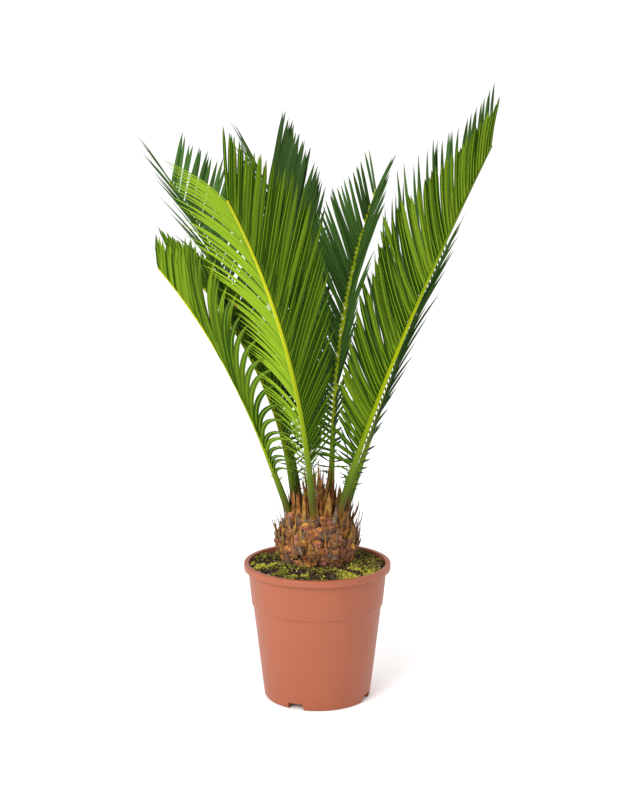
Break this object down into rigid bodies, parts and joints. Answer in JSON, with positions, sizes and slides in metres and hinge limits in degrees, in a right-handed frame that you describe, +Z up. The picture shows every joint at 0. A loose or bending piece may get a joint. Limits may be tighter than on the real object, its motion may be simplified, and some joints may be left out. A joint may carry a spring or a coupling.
{
  "type": "potted sago palm",
  "caption": "Young sago palm: a squat scaly stem with upright arching feather fronds, in a round tapered nursery pot filled with soil.",
  "frame": {"origin": "centre of the pot's flat underside, on the ground", "axes": "+Z up; the picture looks along +Y, so -Y is the front and +X is the viewer's right"},
  "size_m": [0.4464, 0.7064, 0.7728],
  "materials": {
    "pot": "satin",
    "soil": "matte",
    "trunk": "matte",
    "frond": "satin"
  },
  "bodies": {
    "root": {"pot": "pot", "soil": "soil", "trunk": "trunk", "frond_front": "frond", "frond_front_right": "frond", "frond_right": "frond", "frond_back_right": "frond", "frond_back": "frond", "frond_back_left": "frond", "frond_left_back": "frond", "frond_left": "frond"}
  },
  "joints": []
}
